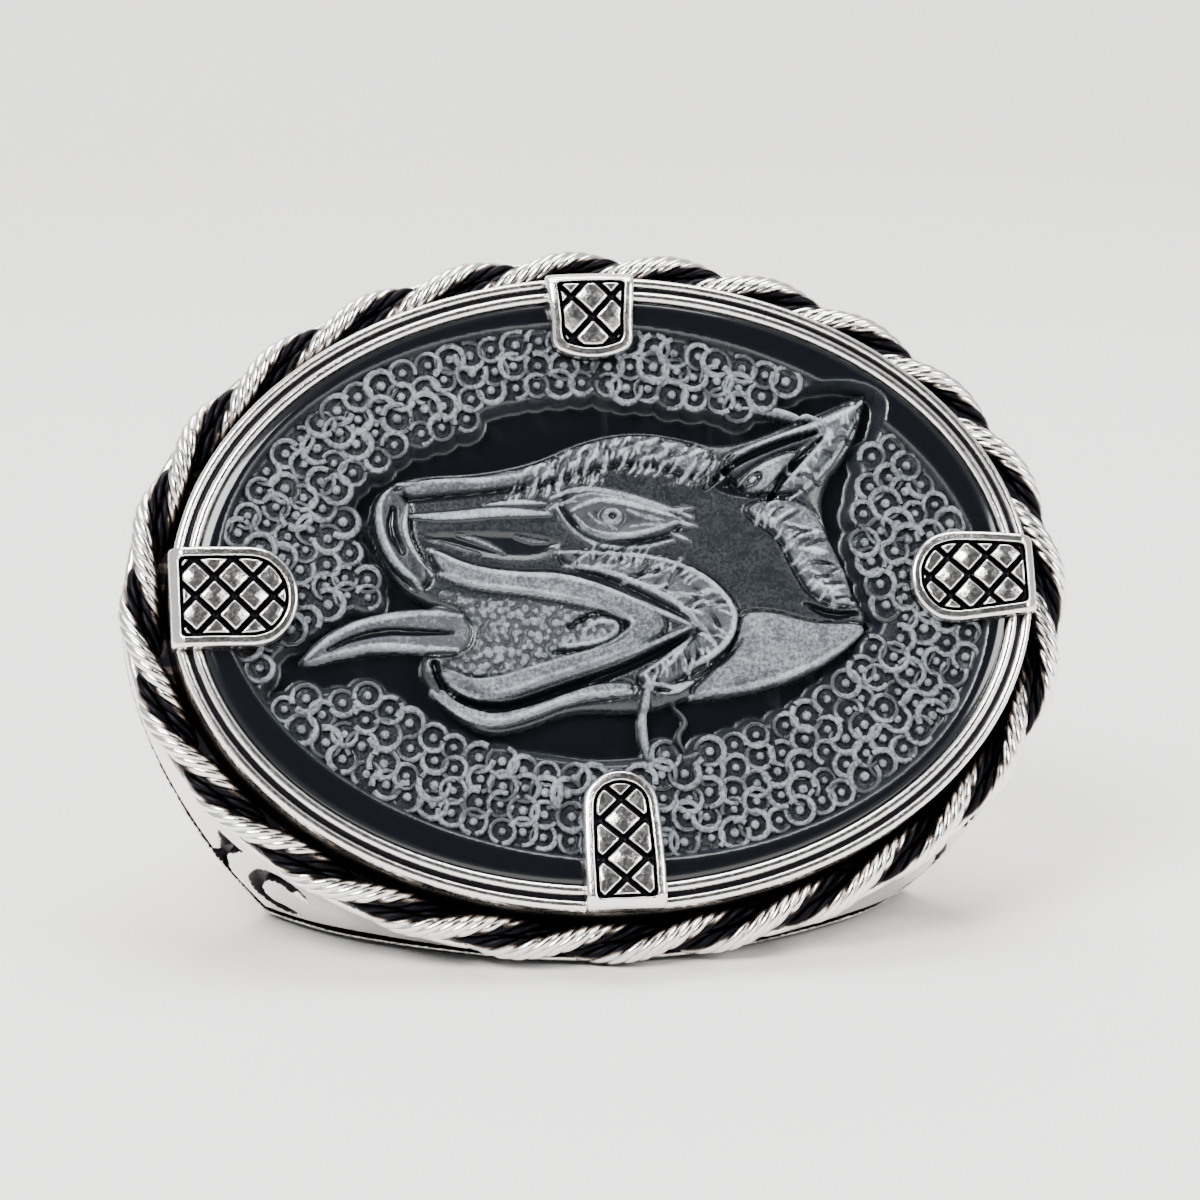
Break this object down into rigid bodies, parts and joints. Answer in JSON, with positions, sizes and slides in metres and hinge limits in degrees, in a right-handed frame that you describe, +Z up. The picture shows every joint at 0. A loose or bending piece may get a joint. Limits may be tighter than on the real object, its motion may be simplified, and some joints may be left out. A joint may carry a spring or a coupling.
{
  "type": "wolf ring",
  "caption": "Heavy silver finger ring with an oval black stone carved with a wolf's head, held by a bezel and claws inside a twisted rope border.",
  "frame": {"origin": "on the surface the ring lies on, under the middle of its box", "axes": "+X along the long axis of the oval head; the ring lies on one flat side of its band, and the face looks towards -Y, tipped up by the taper of the band; +Z up"},
  "size_m": [0.0352, 0.0302, 0.0246],
  "materials": {
    "silver": "satin",
    "stone": "satin"
  },
  "bodies": {
    "root": {"ring_body": "silver", "carved_stone": "stone"}
  },
  "joints": []
}
